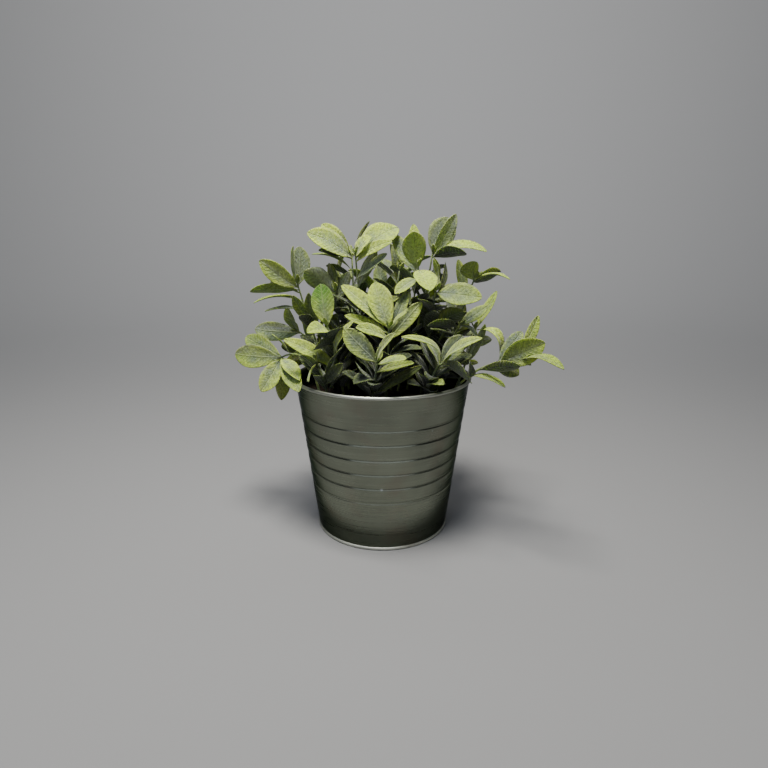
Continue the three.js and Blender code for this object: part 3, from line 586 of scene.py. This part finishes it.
class Stem:  # a curve from foot to apex past its bend, measured along its length
    def __init__(self, foot, bend, apex):
        self.foot, self.bend, self.apex = Vector(foot), Vector(bend), Vector(apex)
        self.lengths = [0]
        last = self.foot
        for step in range(1, plant["arcSteps"] + 1):
            point = self.pointAt(step / plant["arcSteps"])
            self.lengths.append(self.lengths[-1] + (point - last).length)
            last = point
        self.joints = [self.along(step / plant["stemSteps"])[0] for step in range(plant["stemSteps"] + 1)]

    def pointAt(self, time):
        return self.foot.lerp(self.bend, time).lerp(self.bend.lerp(self.apex, time), time)

    def along(self, share):  # the point and the direction at a share of the length
        target = share * self.lengths[-1]
        step = min(max(bisect.bisect_right(self.lengths, target) - 1, 0), plant["arcSteps"] - 1)
        part = (target - self.lengths[step]) / (self.lengths[step + 1] - self.lengths[step])
        time = (step + part) / plant["arcSteps"]
        way = (self.bend - self.foot).lerp(self.apex - self.bend, time).normalized()
        return self.pointAt(time), way

    def rootAt(self, share):
        place = min(share, plant["lastRoot"]) * plant["stemSteps"]
        step = int(place)
        return self.joints[step].lerp(self.joints[step + 1], place - step)


def pairedLeaf(stem, pairs, pair, turn, draw):
    at = pairs["places"][pair]
    base, way = stem.rootAt(at), stem.along(at)[1]
    side = Vector((0, 0, 1)).cross(way).normalized()
    turned = turn + draw(*rule["turn"])
    spread = math.radians(pairs["spreads"][pair] + draw(*rule["spread"]))
    length = pairs["lengths"][pair] * draw(*rule["length"])
    arch = draw(*rule["arch"])
    tries = []
    for shorten in rule["shortenings"]:
        for swing in rule["swings"]:
            outward = Quaternion(way, math.radians(turned + swing)) @ side
            reach = outward * math.sin(spread) + way * math.cos(spread)
            tries.append({"base": base, "tip": base + reach * length * shorten, "face": way,
                          "width": length * shorten * pairs["slimness"], "arch": arch,
                          "look": "rule" if pairs is upperPairs else "low"})
    return tries


def listPairs(stem, pairs, turn, draw):
    return [pairedLeaf(stem, pairs, pair, turn + pair * 90 + half, draw)
            for pair in range(len(pairs["places"])) for half in (0, 180)]


def listFrontSprigs():
    draw = randomFrom(rule["frontSeed"])
    sprigs = []
    for name, sprig in frontSprigs.items():
        foot = (*sprig["foot"], plant["soilTop"] - plant["rootDepth"])
        stem = Stem(foot, seen(sprig["bend"]), seen(sprig["apex"]))
        leaves = []
        for at, tip, width, face, arch, look in sprig["leaves"]:
            facing = Vector(faces.get(face, face))
            leaves.append([{"base": stem.rootAt(at), "tip": seen((tip[0], tip[1], tip[2] + shift)),
                            "face": facing, "width": width, "arch": arch, "look": look}
                           for shift in rule["depthShifts"]])
        leaves += listPairs(stem, frontPairs, draw(0, 180), draw)
        sprigs.append({"node": name, "stem": stem, "leaves": leaves, "back": False})
    return sprigs


def listDomeSprigs():
    draw = randomFrom(dome["seed"])
    goldenAngle = math.pi * (3 - math.sqrt(5))
    sprigs = []
    for i in range(dome["count"]):
        height = lerp(dome["lowest"], 1, (i + 0.5) / dome["count"])
        spreadOut = draw(1 - dome["reachSpread"], 1 + dome["reachSpread"])
        reach = dome["reach"] * math.sqrt(1 - height ** 2) * spreadOut
        apex = Vector((reach * math.cos(i * goldenAngle), reach * math.sin(i * goldenAngle),
                       dome["centreHeight"] + dome["rise"] * height))
        foot = Vector((apex.x * dome["footShare"], apex.y * dome["footShare"],
                       plant["soilTop"] - plant["rootDepth"]))
        bend = (apex.x * dome["bendOut"], apex.y * dome["bendOut"],
                lerp(foot.z, apex.z, dome["bendUp"]) + dome["bendLift"])
        stem = Stem(foot, bend, apex)
        turn = draw(0, 180)
        leaves = listPairs(stem, upperPairs, turn, draw)
        leaves += listPairs(stem, lowerPairs, turn + rule["lowerTurn"], draw)
        sprigs.append({"node": f"sprig_back_{i + 1:02d}", "stem": stem, "leaves": leaves, "back": True})
    return sprigs


def leafNormal(leaf):  # square to the leaf's length, on the side that it faces
    along = (leaf["tip"] - leaf["base"]).normalized()
    return (leaf["face"] - along * leaf["face"].dot(along)).normalized()


def findTaken():  # of each leaf's tries, the one that the CAD node holds; a leaf that it lacks is left out
    sprigs = []
    for sprig in listFrontSprigs() + listDomeSprigs():
        if sprig["node"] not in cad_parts:
            continue
        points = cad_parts[sprig["node"]].data.vertices
        tree = KDTree(len(points))
        for index, vert in enumerate(points):
            tree.insert(vert.co / mm, index)
        tree.balance()
        taken = []
        for tries in sprig["leaves"]:
            for leaf in tries:
                corner = leaf["tip"] + leafNormal(leaf) * plant["cadThickness"] / 2
                if tree.find(corner)[2] < plant["sameTip"]:
                    taken.append(leaf)
                    break
        sprig["leaves"] = taken
        sprigs.append(sprig)
    return sprigs


sprigs = findTaken()
print("leaves found in the model:", sum(len(sprig["leaves"]) for sprig in sprigs))


# extra leaves in the shade of the crown and small leaves at the growing tips, which the model leaves out

filler = {
    "seed": 21, "places": (0.28, 0.36, 0.5, 0.64, 0.8), "spreads": (48, 56, 62, 64, 60),
    "lengths": (25, 20, 15), "swings": (0, 24, -24, 48, -48), "slimness": 0.46,
    "turn": (-20, 20), "spread": (-10, 10), "arch": (0.5, 3), "stretch": (0.85, 1.15),
    "crownShare": 0.8, "rimGap": 2, "wallGap": 3, "soilGap": 2.5, "hides": 70,
}
buds = {
    "seed": 22, "lengths": (5, 9), "spreads": (14, 34), "count": 4, "slimness": 0.42,
    "lean": 0.3, "arch": -0.08,
}

shape = {
    "skew": 1.3, "fullness": 0.62, "fold": 0.24, "foldBend": 1.6,
    "stalkNarrow": 0.35, "stalkEnd": 0.22, "stalkHalf": 0.45, "tipHalf": 0.15,
    "thickness": 0.45, "wave": 0.4, "sway": 0.7, "phase": (0, 6.28),
    "coarseShares": (0.12, 0.35, 0.6, 0.85, 1),
}


def outlineHalf(leaf, share):
    full = max(math.sin(math.pi * share ** shape["skew"]), 0) ** shape["fullness"]
    stalk = lerp(shape["stalkNarrow"], 1, smoothStep(0, shape["stalkEnd"], share))
    return max(leaf["width"] / 2 * full * stalk, lerp(shape["stalkHalf"], shape["tipHalf"], share))


def bladePoint(leaf, side, share):  # side runs from -1 to 1 across the blade, share from stalk to tip
    rib = leaf["tip"] - leaf["base"]
    normal = leafNormal(leaf)
    across = normal.cross(rib.normalized())
    half = outlineHalf(leaf, share)
    bow = 4 * share * (1 - share)
    wave = math.sin(leaf["phase"] + side * 2 + share * 9) * side ** 2 * bow
    lift = leaf["arch"] * bow + half * shape["fold"] * abs(side) ** shape["foldBend"] + shape["wave"] * wave
    sway = shape["sway"] * math.sin(leaf["phase"] * 3) * bow
    return leaf["base"] + rib * share + across * (side * half + sway) + normal * lift


def coarseBlade(leaf):  # a few triangles, to test a leaf against its neighbours
    shares = shape["coarseShares"]
    points = [bladePoint(leaf, side, share) for share in shares for side in (-1, 0, 1)]
    triangles = []
    for row in range(len(shares) - 1):
        for column in range(2):
            corner = row * 3 + column
            triangles += [(corner, corner + 1, corner + 4), (corner, corner + 4, corner + 3)]
    return points, triangles


def joinTree(parts):
    points, triangles = [], []
    for newPoints, newTriangles in parts:
        triangles += [tuple(len(points) + corner for corner in triangle) for triangle in newTriangles]
        points += newPoints
    return BVHTree.FromPolygons(points, triangles)


def isInPlace(points):  # over the soil, clear of the wall and inside the crown
    for point in points:
        away = math.hypot(point.x, point.y)
        if point.z < soil["top"] + soil["mound"] + filler["soilGap"]:
            return False
        if point.z < pot["height"] + filler["rimGap"] and away > wallRadius(point.z) - filler["wallGap"]:
            return False
        if crownShare(point) > filler["crownShare"]:
            return False
    return True


def addFiller():
    eye = Vector((0, -plant["sightBack"], plant["sightUp"]))
    blades = [coarseBlade(leaf) for sprig in sprigs for leaf in sprig["leaves"]]
    shown = joinTree([coarseBlade(leaf) for sprig in sprigs if not sprig["back"] for leaf in sprig["leaves"]
                      if leaf["look"] != "low"])  # an added leaf hides none of these
    trees = [BVHTree.FromPolygons(*blade) for blade in blades]
    draw = randomFrom(filler["seed"])
    added = 0
    for sprig in sprigs:
        stem = sprig["stem"]
        turn = draw(0, 180)
        for level, at in enumerate(filler["places"]):
            base, way = stem.along(at)
            side = Vector((0, 0, 1)).cross(way).normalized()
            for half in (0, 180):
                turned = turn + level * 90 + half + draw(*filler["turn"])
                spread = math.radians(filler["spreads"][level] + draw(*filler["spread"]))
                arch, phase, stretch = draw(*filler["arch"]), draw(*shape["phase"]), draw(*filler["stretch"])
                tries = [(length, swing) for length in filler["lengths"] for swing in filler["swings"]]
                for length, swing in tries:
                    outward = Quaternion(way, math.radians(turned + swing)) @ side
                    reach = outward * math.sin(spread) + way * math.cos(spread)
                    leaf = {"base": base, "tip": base + reach * length * stretch, "face": way,
                            "width": length * stretch * filler["slimness"], "arch": arch,
                            "look": "inner", "phase": phase}
                    points, triangles = coarseBlade(leaf)
                    if not isInPlace(points):
                        continue
                    if any(shown.ray_cast(point, (point - eye).normalized(), filler["hides"])[0]
                           for point in points):
                        continue
                    tree = BVHTree.FromPolygons(points, triangles)
                    if any(tree.overlap(other) for other in trees):
                        continue
                    trees.append(tree)
                    sprig["leaves"].append(leaf)
                    added += 1
                    break
    print("leaves added in the shade:", added)


def addBuds():
    draw = randomFrom(buds["seed"])
    for sprig in sprigs:
        top, way = sprig["stem"].along(1)
        side = Vector((0, 0, 1)).cross(way).normalized()
        turn = draw(0, 180)
        for i in range(buds["count"]):
            outermost = 1 - i / (buds["count"] - 1)
            length = lerp(*buds["lengths"], outermost)
            spread = math.radians(lerp(*buds["spreads"], outermost))
            outward = Quaternion(way, math.radians(turn + 90 * (i // 2) + 180 * (i % 2))) @ side
            reach = outward * math.sin(spread) + way * math.cos(spread)
            sprig["leaves"].append({"base": top, "tip": top + reach * length,
                                    "face": way * buds["lean"] - outward,
                                    "width": length * buds["slimness"], "arch": buds["arch"] * length,
                                    "look": "bud", "phase": draw(*shape["phase"])})


# each look: how yellow, how green at the tip, how light; the dark, low and inner looks are coloured darker as
# painted shade, for leaves that lie in shadow
looks = {
    "pale": (0.42, 0.1, 1.17), "lime": (0.75, 0.2, 1.1), "sage": (0.2, 0.1, 0.86),
    "grey": (-0.1, 0, 0.7), "silver": (-0.15, 0, 0.96), "rim": (0.35, 0.3, 0.85),
    "green": (0.3, 1.15, 0.92), "olive": (0.7, 0.3, 0.8), "dark": (0.2, 0.4, 0.34),
    "rule": (0.12, 0.15, 0.64), "low": (0.1, 0.3, 0.27), "inner": (0.1, 0.3, 0.27),
    "bud": (0.6, 0.2, 0.8), "stem": (0.4, 0.1, 0.7),
}
tones = {
    # under is a dark olive that paints shade on the undersides; real sage is paler beneath
    "grey": "#728068", "yellow": "#adc244", "green": "#4d7a16", "vein": "#c3cf8c", "under": "#5d6a3a",
    "seed": 8, "spread": 0.12,
    "veinGap": 3.2, "veinSlant": 0.9,  # mm between side veins, and how far they lean for each mm outwards
    "veinShare": 0.2, "underShadeShare": 0.6, "glow": 0.35,
}
# painted shade: how much darker a leaf's colour gets the deeper it lies in the crown
depthShade = {"middle": 115, "halfAcross": 75, "halfUp": 105, "from": 0.45, "to": 0.85, "dullest": 0.5}
cells = {"hand": (8, 16), "rule": (6, 11), "low": (6, 10), "inner": (4, 7), "bud": (4, 5)}
leafLayers = ("leafPlace", "leafSpot", "leafTone")
stemShape = {"sides": 8, "footRadius": 1.05, "tipRadius": 0.6, "steps": 14}


def growLeaf(bm, layers, leaf, tone):
    across, along = cells.get(leaf["look"], cells["hand"])
    verts = bmesh.ops.create_grid(bm, x_segments=across, y_segments=along, size=1)["verts"]
    blade = list({face for vert in verts for face in vert.link_faces})
    length = (leaf["tip"] - leaf["base"]).length
    for vert in verts:
        side, share = vert.co.x, (1 - math.cos(math.pi * (vert.co.y + 1) / 2)) / 2
        lifted = bladePoint(leaf, side, share) + leafNormal(leaf) * shape["thickness"] / 2
        vert.co = lifted * mm
        vert[layers["leafPlace"]] = (side, share, 0)  # as shares of the blade, and 0 on its upper face
        vert[layers["leafSpot"]] = (side * outlineHalf(leaf, share), share * length, 0)  # in mm
        vert[layers["leafTone"]] = tone
    made = bmesh.ops.solidify(bm, geom=blade, thickness=shape["thickness"] * mm)["geom"]
    skin = [vert for vert in made if isinstance(vert, bmesh.types.BMVert)]
    for vert in skin:
        vert[layers["leafPlace"]].z = 1
    for vert in verts + skin:  # a leaf's waves end at the model's own box
        vert.co = [min(max(value, low), high) for value, low, high in zip(vert.co, *cadBox)]


def growStem(bm, layers, stem, tone):
    last, rings = stemShape["steps"], []
    for step in range(last + 1):
        point, way = stem.along(step / last)
        radius = lerp(stemShape["footRadius"], stemShape["tipRadius"], step / last)
        ring = bmesh.ops.create_circle(bm, segments=stemShape["sides"], radius=radius * mm,
                                       cap_ends=step in (0, last))["verts"]
        bmesh.ops.rotate(bm, cent=(0, 0, 0), verts=ring,
                         matrix=Vector((0, 0, 1)).rotation_difference(way).to_matrix())
        bmesh.ops.translate(bm, vec=point * mm, verts=ring)
        for vert in ring:
            vert[layers["leafPlace"]] = (0, 0.4, 0)
            vert[layers["leafSpot"]] = (3, step, 1)  # the 1 keeps veins off the stem
            vert[layers["leafTone"]] = tone
        rings.append(ring)
    for lower, upper in zip(rings, rings[1:]):
        edges = [edge for ring in (lower, upper) for edge in {e for vert in ring for e in vert.link_edges}
                 if all(vert in ring for vert in edge.verts)]
        bmesh.ops.bridge_loops(bm, edges=edges)


def makeLeafMaterial():  # felted sage leaf: matt, pebbled between pale veins, yellower at the rim and tip
    material, tree, surface = startMaterial("felted sage leaf")
    place, spot, tone = [
        addNode(tree, "SeparateXYZ", {0: addNode(tree, "Attribute", attribute_name=name).outputs["Vector"]})
        for name in leafLayers]
    local = addNode(tree, "TexCoord").outputs["Object"]
    patches = addNode(tree, "TexNoise", {"Vector": local, "Scale": 160, "Detail": 3})  # 6 mm
    # pebbles of 1.6 mm and flecks of 2 mm: real felt is finer and wouldn't show
    pebbles = addNode(tree, "TexVoronoi", {"Vector": local, "Scale": 620, "Smoothness": 0.6},
                      feature="SMOOTH_F1")
    # distances on the blade
    aside = addNode(tree, "Math", {0: spot.outputs[0]}, operation="ABSOLUTE")
    slant = addNode(tree, "Math", {0: aside.outputs[0], 1: -tones["veinSlant"], 2: spot.outputs[1]},
                    operation="MULTIPLY_ADD")
    shaken = addNode(tree, "Math", {0: patches.outputs["Fac"], 1: 2.4, 2: slant.outputs[0]},
                     operation="MULTIPLY_ADD")
    toVein = addNode(tree, "Math", {0: shaken.outputs[0], 1: tones["veinGap"] / 2}, operation="PINGPONG")
    sideVeins = addNode(tree, "MapRange", {"Value": toVein.outputs[0], 1: 0.1, 2: 0.55, 3: 1, 4: 0},
                        interpolation_type="SMOOTHSTEP")
    midrib = addNode(tree, "MapRange", {"Value": aside.outputs[0], 1: 0.15, 2: 0.7, 3: 1, 4: 0},
                     interpolation_type="SMOOTHSTEP")
    half = addNode(tree, "Math", {0: sideVeins.outputs[0], 1: 0.55}, operation="MULTIPLY")
    anyVein = addNode(tree, "Math", {0: half.outputs[0], 1: midrib.outputs[0]}, operation="MAXIMUM")
    notStem = addNode(tree, "Math", {0: 1, 1: spot.outputs[2]}, operation="SUBTRACT")
    veins = addNode(tree, "Math", {0: anyVein.outputs[0], 1: notStem.outputs[0]}, operation="MULTIPLY")
    # grey-green in the middle, yellow-green towards the rim and the tip
    rim = addNode(tree, "Math", {0: place.outputs[0]}, operation="ABSOLUTE")
    rimShare = addNode(tree, "MapRange", {"Value": rim.outputs[0], 1: 0.2, 2: 1, 3: -0.12, 4: 0.42},
                       interpolation_type="SMOOTHSTEP")
    tipShare = addNode(tree, "MapRange", {"Value": place.outputs[1], 1: 0.45, 2: 1, 3: 0, 4: 0.35},
                       interpolation_type="SMOOTHSTEP")
    patchShare = addNode(tree, "MapRange", {"Value": patches.outputs["Fac"],
                                            1: 0.3, 2: 0.7, 3: -0.3, 4: 0.35})
    yellow = addNode(tree, "Math", {0: tone.outputs[0], 1: rimShare.outputs[0]}, operation="ADD")
    yellower = addNode(tree, "Math", {0: yellow.outputs[0], 1: tipShare.outputs[0]}, operation="ADD")
    yellowest = addNode(tree, "Math", {0: yellower.outputs[0], 1: patchShare.outputs[0]}, operation="ADD",
                        use_clamp=True)
    skin = addNode(tree, "Mix", {0: yellowest.outputs[0], 6: linearColour(tones["grey"]),
                                 7: linearColour(tones["yellow"])}, data_type="RGBA")
    greenShare = addNode(tree, "MapRange", {"Value": place.outputs[1], 1: 0.3, 2: 0.95, 3: 0.15, 4: 1})
    green = addNode(tree, "Math", {0: greenShare.outputs[0], 1: tone.outputs[1]}, operation="MULTIPLY")
    greened = addNode(tree, "Mix", {0: green.outputs[0], 6: skin.outputs[2],
                                    7: linearColour(tones["green"])}, data_type="RGBA")
    veinShare = addNode(tree, "Math", {0: veins.outputs[0], 1: tones["veinShare"]}, operation="MULTIPLY")
    veined = addNode(tree, "Mix", {0: veinShare.outputs[0], 6: greened.outputs[2],
                                   7: linearColour(tones["vein"])}, data_type="RGBA")
    # undersides mix towards the dark olive: painted shade on the side turned from the light
    underShadeShare = addNode(tree, "Math", {0: place.outputs[2], 1: tones["underShadeShare"]}, operation="MULTIPLY")
    turned = addNode(tree, "Mix", {0: underShadeShare.outputs[0], 6: veined.outputs[2],
                                   7: linearColour(tones["under"])}, data_type="RGBA")
    # lighter on the pebbles' crowns and darker in the hollows between them: painted shade in the hollows
    pebbleShade = addNode(tree, "MapRange", {"Value": pebbles.outputs["Distance"],
                                         1: 0.1, 2: 0.8, 3: 1.2, 4: 0.78})
    fleck = addNode(tree, "TexNoise", {"Vector": local, "Scale": 520, "Detail": 2})
    bare = addNode(tree, "MapRange", {"Value": fleck.outputs["Fac"], 1: 0.52, 2: 0.68, 3: 1, 4: 0.66})
    # worn: the felt's own flecks, times the painted shade in the pebbles' hollows
    worn = addNode(tree, "Math", {0: pebbleShade.outputs[0], 1: bare.outputs[0]}, operation="MULTIPLY")
    lightness = addNode(tree, "Math", {0: worn.outputs[0], 1: tone.outputs[2]}, operation="MULTIPLY")
    final = addNode(tree, "VectorMath", {0: turned.outputs[2], "Scale": lightness.outputs[0]},
                    operation="SCALE")
    tree.links.new(final.outputs[0], surface.inputs["Base Color"])
    # relief: puffs between sunken veins
    sunk = addNode(tree, "Math", {0: veins.outputs[0], 1: -0.6}, operation="MULTIPLY")
    relief = addNode(tree, "Math", {0: pebbles.outputs["Distance"], 1: -0.5, 2: sunk.outputs[0]},
                     operation="MULTIPLY_ADD")
    bump = addNode(tree, "Bump", {"Height": relief.outputs[0], "Strength": 0.85, "Distance": 0.0009})
    tree.links.new(bump.outputs[0], surface.inputs["Normal"])
    surface.inputs["Roughness"].default_value = 0.78
    surface.inputs["Specular IOR Level"].default_value = 0.3
    surface.inputs["Sheen Weight"].default_value = 0.25
    surface.inputs["Sheen Roughness"].default_value = 0.5
    surface.inputs["Subsurface Weight"].default_value = tones["glow"]  # a lit leaf glows on its other side
    surface.inputs["Subsurface Radius"].default_value = (0.8, 1, 0.3)
    surface.inputs["Subsurface Scale"].default_value = 0.0015
    return material


def shadeAt(point):  # painted shade: leaves deep in the crown are coloured darker, as the crown would shade them
    across = math.hypot(point.x, point.y) / depthShade["halfAcross"]
    outward = math.hypot(across, (point.z - depthShade["middle"]) / depthShade["halfUp"])
    return lerp(depthShade["dullest"], 1, smoothStep(depthShade["from"], depthShade["to"], outward))


def addSprigs():
    material = makeLeafMaterial()
    draw = randomFrom(tones["seed"])
    for sprig in sprigs:
        for leaf in sprig["leaves"]:
            leaf.setdefault("phase", draw(*shape["phase"]))
    addFiller()
    addBuds()
    faceCount = 0
    for sprig in sprigs:
        bm = bmesh.new()
        layers = {name: bm.verts.layers.float_vector.new(name) for name in leafLayers}
        growStem(bm, layers, sprig["stem"], looks["stem"])
        for leaf in sprig["leaves"]:
            yellow, green, lightness = looks[leaf["look"]]
            vary = tones["spread"]
            # the lightness carries painted shade, from the look and from the leaf's depth in the crown
            tone = (yellow + draw(-vary, vary), green,
                    lightness * shadeAt(leaf["tip"]) * (1 + draw(-vary, vary) / 2))
            growLeaf(bm, layers, leaf, tone)
        bmesh.ops.recalc_face_normals(bm, faces=bm.faces[:])
        faceCount += len(bm.faces)
        words = sprig["node"].split("_")
        finishPiece(bm, "sage" + "".join(word.capitalize() for word in words[1:]), material,
                    [sprig["node"]])
    print("faces in the sprigs:", faceCount)


addSprigs()
print("sprigs are made")
